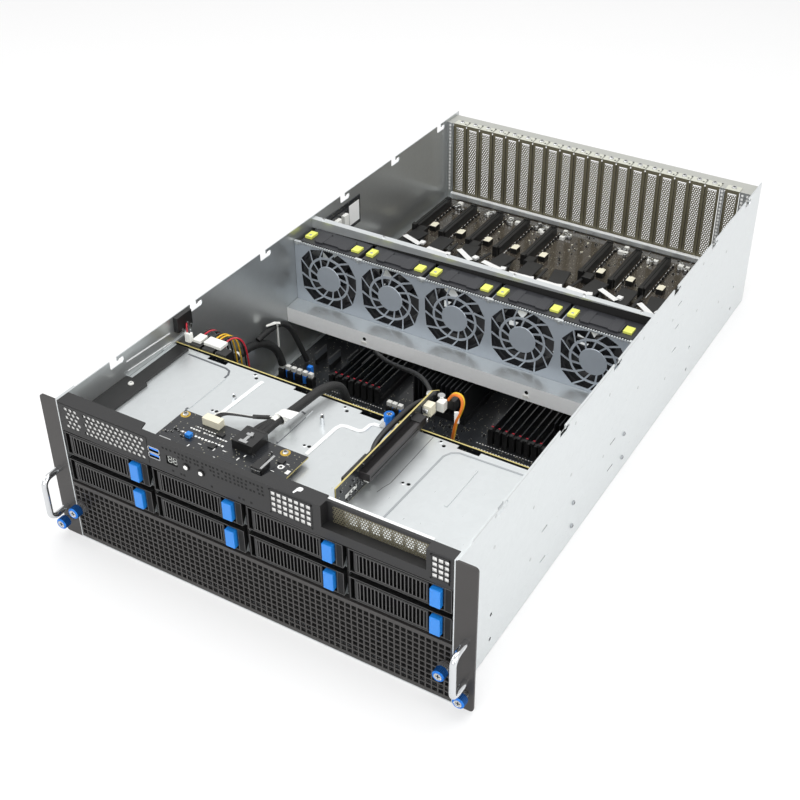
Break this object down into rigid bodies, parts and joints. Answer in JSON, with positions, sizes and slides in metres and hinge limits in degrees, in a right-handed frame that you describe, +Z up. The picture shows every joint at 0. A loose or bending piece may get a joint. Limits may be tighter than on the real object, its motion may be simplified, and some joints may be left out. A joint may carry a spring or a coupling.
{
  "type": "4u gpu server",
  "caption": "Open-topped rack server, four units high, with hot-swap drive trays, a wall of plug-in fans and a bay of long expansion card slots.",
  "frame": {"origin": "underside of the base plate, on the centre line, in the plane of the rack posts (back face of the rack ears)", "axes": "+X to the right seen from the front, +Y to the back, +Z up"},
  "size_m": [0.4826, 0.848, 0.1745],
  "materials": {
    "galvanised": "zinc plated sheet steel",
    "black_paint": "fine textured black paint on sheet steel",
    "chrome": "polished plated bar",
    "white_plastic": "smooth",
    "blue_knob": "blue anodised knob on a steel screw",
    "circuit_board": "black solder mask",
    "cooler_aluminium": "mill finish fins",
    "nickel_steel": "dull nickel plate",
    "cable_sleeve": "matt sleeve",
    "black_plastic": "moulded, fine grain",
    "blue_plastic": "moulded, satin",
    "rotor_plastic": "moulded dark grey",
    "supply_steel": "zinc plated case"
  },
  "bodies": {
    "chassis": {"chassis_shell": "galvanised", "rack_ears": "black_paint", "front_handles": "chrome", "front_grille": "black_paint", "front_io_panel": "black_paint", "drive_cage": "galvanised", "drive_backplane": "circuit_board", "front_io_board": "circuit_board", "riser_card": "circuit_board", "fan_cage": "galvanised", "mainboard": "circuit_board", "cpu_coolers": "cooler_aluminium", "rear_frame": "galvanised", "slot_blanks": "nickel_steel", "card_board": "circuit_board", "internal_cables": "cable_sleeve"},
    "tray_1": {"drive_tray_1": "black_plastic"},
    "lever_1": {"tray_lever_1": "black_plastic"},
    "release_1": {"tray_release_1": "blue_plastic"},
    "tray_2": {"drive_tray_2": "black_plastic"},
    "lever_2": {"tray_lever_2": "black_plastic"},
    "release_2": {"tray_release_2": "blue_plastic"},
    "tray_3": {"drive_tray_3": "black_plastic"},
    "lever_3": {"tray_lever_3": "black_plastic"},
    "release_3": {"tray_release_3": "blue_plastic"},
    "tray_4": {"drive_tray_4": "black_plastic"},
    "lever_4": {"tray_lever_4": "black_plastic"},
    "release_4": {"tray_release_4": "blue_plastic"},
    "tray_5": {"drive_tray_5": "black_plastic"},
    "lever_5": {"tray_lever_5": "black_plastic"},
    "release_5": {"tray_release_5": "blue_plastic"},
    "tray_6": {"drive_tray_6": "black_plastic"},
    "lever_6": {"tray_lever_6": "black_plastic"},
    "release_6": {"tray_release_6": "blue_plastic"},
    "tray_7": {"drive_tray_7": "black_plastic"},
    "lever_7": {"tray_lever_7": "black_plastic"},
    "release_7": {"tray_release_7": "blue_plastic"},
    "tray_8": {"drive_tray_8": "black_plastic"},
    "lever_8": {"tray_lever_8": "black_plastic"},
    "release_8": {"tray_release_8": "blue_plastic"},
    "fan_1": {"fan_module_1": "black_plastic"},
    "rotor_1": {"fan_rotor_1": "rotor_plastic"},
    "fan_2": {"fan_module_2": "black_plastic"},
    "rotor_2": {"fan_rotor_2": "rotor_plastic"},
    "fan_3": {"fan_module_3": "black_plastic"},
    "rotor_3": {"fan_rotor_3": "rotor_plastic"},
    "fan_4": {"fan_module_4": "black_plastic"},
    "rotor_4": {"fan_rotor_4": "rotor_plastic"},
    "fan_5": {"fan_module_5": "black_plastic"},
    "rotor_5": {"fan_rotor_5": "rotor_plastic"},
    "supply_1": {"power_supply_1": "supply_steel"},
    "supply_2": {"power_supply_2": "supply_steel"},
    "supply_3": {"power_supply_3": "supply_steel"},
    "power_button": {"power_button": "white_plastic"},
    "locator_button": {"locator_button": "white_plastic"},
    "rack_thumbscrew_left": {"rack_thumbscrew_left": "blue_knob"},
    "grille_thumbscrew_left": {"grille_thumbscrew_left": "blue_knob"},
    "rack_thumbscrew_right": {"rack_thumbscrew_right": "blue_knob"},
    "grille_thumbscrew_right": {"grille_thumbscrew_right": "blue_knob"},
    "riser_thumbscrew": {"riser_thumbscrew": "blue_knob"}
  },
  "joints": [
    {"name": "tray_slide_1", "type": "slide", "parent": "chassis", "child": "tray_1", "axis": [0, -1, 0], "range_m": [0, 0.18]},
    {"name": "lever_hinge_1", "type": "hinge", "parent": "tray_1", "child": "lever_1", "pos_m": [-0.2105, 0.0022, 0.1244], "axis": [0, 0, -1], "range_deg": [0, 55]},
    {"name": "release_push_1", "type": "slide", "parent": "tray_1", "child": "release_1", "axis": [0, 1, 0], "range_m": [0, 0.0025], "stiffness_N_per_m": 300},
    {"name": "tray_slide_2", "type": "slide", "parent": "chassis", "child": "tray_2", "axis": [0, -1, 0], "range_m": [0, 0.18]},
    {"name": "lever_hinge_2", "type": "hinge", "parent": "tray_2", "child": "lever_2", "pos_m": [-0.1005, 0.0022, 0.1244], "axis": [0, 0, -1], "range_deg": [0, 55]},
    {"name": "release_push_2", "type": "slide", "parent": "tray_2", "child": "release_2", "axis": [0, 1, 0], "range_m": [0, 0.0025], "stiffness_N_per_m": 300},
    {"name": "tray_slide_3", "type": "slide", "parent": "chassis", "child": "tray_3", "axis": [0, -1, 0], "range_m": [0, 0.18]},
    {"name": "lever_hinge_3", "type": "hinge", "parent": "tray_3", "child": "lever_3", "pos_m": [0.0095, 0.0022, 0.1244], "axis": [0, 0, -1], "range_deg": [0, 55]},
    {"name": "release_push_3", "type": "slide", "parent": "tray_3", "child": "release_3", "axis": [0, 1, 0], "range_m": [0, 0.0025], "stiffness_N_per_m": 300},
    {"name": "tray_slide_4", "type": "slide", "parent": "chassis", "child": "tray_4", "axis": [0, -1, 0], "range_m": [0, 0.18]},
    {"name": "lever_hinge_4", "type": "hinge", "parent": "tray_4", "child": "lever_4", "pos_m": [0.1195, 0.0022, 0.1244], "axis": [0, 0, -1], "range_deg": [0, 55]},
    {"name": "release_push_4", "type": "slide", "parent": "tray_4", "child": "release_4", "axis": [0, 1, 0], "range_m": [0, 0.0025], "stiffness_N_per_m": 300},
    {"name": "tray_slide_5", "type": "slide", "parent": "chassis", "child": "tray_5", "axis": [0, -1, 0], "range_m": [0, 0.18]},
    {"name": "lever_hinge_5", "type": "hinge", "parent": "tray_5", "child": "lever_5", "pos_m": [-0.2105, 0.0022, 0.0909], "axis": [0, 0, -1], "range_deg": [0, 55]},
    {"name": "release_push_5", "type": "slide", "parent": "tray_5", "child": "release_5", "axis": [0, 1, 0], "range_m": [0, 0.0025], "stiffness_N_per_m": 300},
    {"name": "tray_slide_6", "type": "slide", "parent": "chassis", "child": "tray_6", "axis": [0, -1, 0], "range_m": [0, 0.18]},
    {"name": "lever_hinge_6", "type": "hinge", "parent": "tray_6", "child": "lever_6", "pos_m": [-0.1005, 0.0022, 0.0909], "axis": [0, 0, -1], "range_deg": [0, 55]},
    {"name": "release_push_6", "type": "slide", "parent": "tray_6", "child": "release_6", "axis": [0, 1, 0], "range_m": [0, 0.0025], "stiffness_N_per_m": 300},
    {"name": "tray_slide_7", "type": "slide", "parent": "chassis", "child": "tray_7", "axis": [0, -1, 0], "range_m": [0, 0.18]},
    {"name": "lever_hinge_7", "type": "hinge", "parent": "tray_7", "child": "lever_7", "pos_m": [0.0095, 0.0022, 0.0909], "axis": [0, 0, -1], "range_deg": [0, 55]},
    {"name": "release_push_7", "type": "slide", "parent": "tray_7", "child": "release_7", "axis": [0, 1, 0], "range_m": [0, 0.0025], "stiffness_N_per_m": 300},
    {"name": "tray_slide_8", "type": "slide", "parent": "chassis", "child": "tray_8", "axis": [0, -1, 0], "range_m": [0, 0.18]},
    {"name": "lever_hinge_8", "type": "hinge", "parent": "tray_8", "child": "lever_8", "pos_m": [0.1195, 0.0022, 0.0909], "axis": [0, 0, -1], "range_deg": [0, 55]},
    {"name": "release_push_8", "type": "slide", "parent": "tray_8", "child": "release_8", "axis": [0, 1, 0], "range_m": [0, 0.0025], "stiffness_N_per_m": 300},
    {"name": "fan_lift_1", "type": "slide", "parent": "chassis", "child": "fan_1", "axis": [0, 0, 1], "range_m": [0, 0.1]},
    {"name": "rotor_spin_1", "type": "hinge", "parent": "fan_1", "child": "rotor_1", "pos_m": [-0.1712, 0.4115, 0.1215], "axis": [0, 1, 0], "continuous": true},
    {"name": "fan_lift_2", "type": "slide", "parent": "chassis", "child": "fan_2", "axis": [0, 0, 1], "range_m": [0, 0.1]},
    {"name": "rotor_spin_2", "type": "hinge", "parent": "fan_2", "child": "rotor_2", "pos_m": [-0.0856, 0.4115, 0.1215], "axis": [0, 1, 0], "continuous": true},
    {"name": "fan_lift_3", "type": "slide", "parent": "chassis", "child": "fan_3", "axis": [0, 0, 1], "range_m": [0, 0.1]},
    {"name": "rotor_spin_3", "type": "hinge", "parent": "fan_3", "child": "rotor_3", "pos_m": [0, 0.4115, 0.1215], "axis": [0, 1, 0], "continuous": true},
    {"name": "fan_lift_4", "type": "slide", "parent": "chassis", "child": "fan_4", "axis": [0, 0, 1], "range_m": [0, 0.1]},
    {"name": "rotor_spin_4", "type": "hinge", "parent": "fan_4", "child": "rotor_4", "pos_m": [0.0856, 0.4115, 0.1215], "axis": [0, 1, 0], "continuous": true},
    {"name": "fan_lift_5", "type": "slide", "parent": "chassis", "child": "fan_5", "axis": [0, 0, 1], "range_m": [0, 0.1]},
    {"name": "rotor_spin_5", "type": "hinge", "parent": "fan_5", "child": "rotor_5", "pos_m": [0.1712, 0.4115, 0.1215], "axis": [0, 1, 0], "continuous": true},
    {"name": "supply_slide_1", "type": "slide", "parent": "chassis", "child": "supply_1", "axis": [0, 1, 0], "range_m": [0, 0.19]},
    {"name": "supply_slide_2", "type": "slide", "parent": "chassis", "child": "supply_2", "axis": [0, 1, 0], "range_m": [0, 0.19]},
    {"name": "supply_slide_3", "type": "slide", "parent": "chassis", "child": "supply_3", "axis": [0, 1, 0], "range_m": [0, 0.19]},
    {"name": "power_button_push", "type": "slide", "parent": "chassis", "child": "power_button", "axis": [0, 1, 0], "range_m": [0, 0.001], "stiffness_N_per_m": 200},
    {"name": "locator_button_push", "type": "slide", "parent": "chassis", "child": "locator_button", "axis": [0, 1, 0], "range_m": [0, 0.001], "stiffness_N_per_m": 200},
    {"name": "rack_screw_turn_left", "type": "hinge", "parent": "chassis", "child": "rack_thumbscrew_left", "pos_m": [-0.23255, -0.008, 0.0205], "axis": [0, 1, 0], "continuous": true},
    {"name": "grille_screw_turn_left", "type": "hinge", "parent": "chassis", "child": "grille_thumbscrew_left", "pos_m": [-0.212, -0.008, 0.0435], "axis": [0, 1, 0], "continuous": true},
    {"name": "rack_screw_turn_right", "type": "hinge", "parent": "chassis", "child": "rack_thumbscrew_right", "pos_m": [0.23255, -0.008, 0.0205], "axis": [0, 1, 0], "continuous": true},
    {"name": "grille_screw_turn_right", "type": "hinge", "parent": "chassis", "child": "grille_thumbscrew_right", "pos_m": [0.212, -0.008, 0.0435], "axis": [0, 1, 0], "continuous": true},
    {"name": "riser_screw_turn", "type": "hinge", "parent": "chassis", "child": "riser_thumbscrew", "pos_m": [0.056, 0.161, 0.15], "axis": [0, 0, 1], "continuous": true}
  ]
}
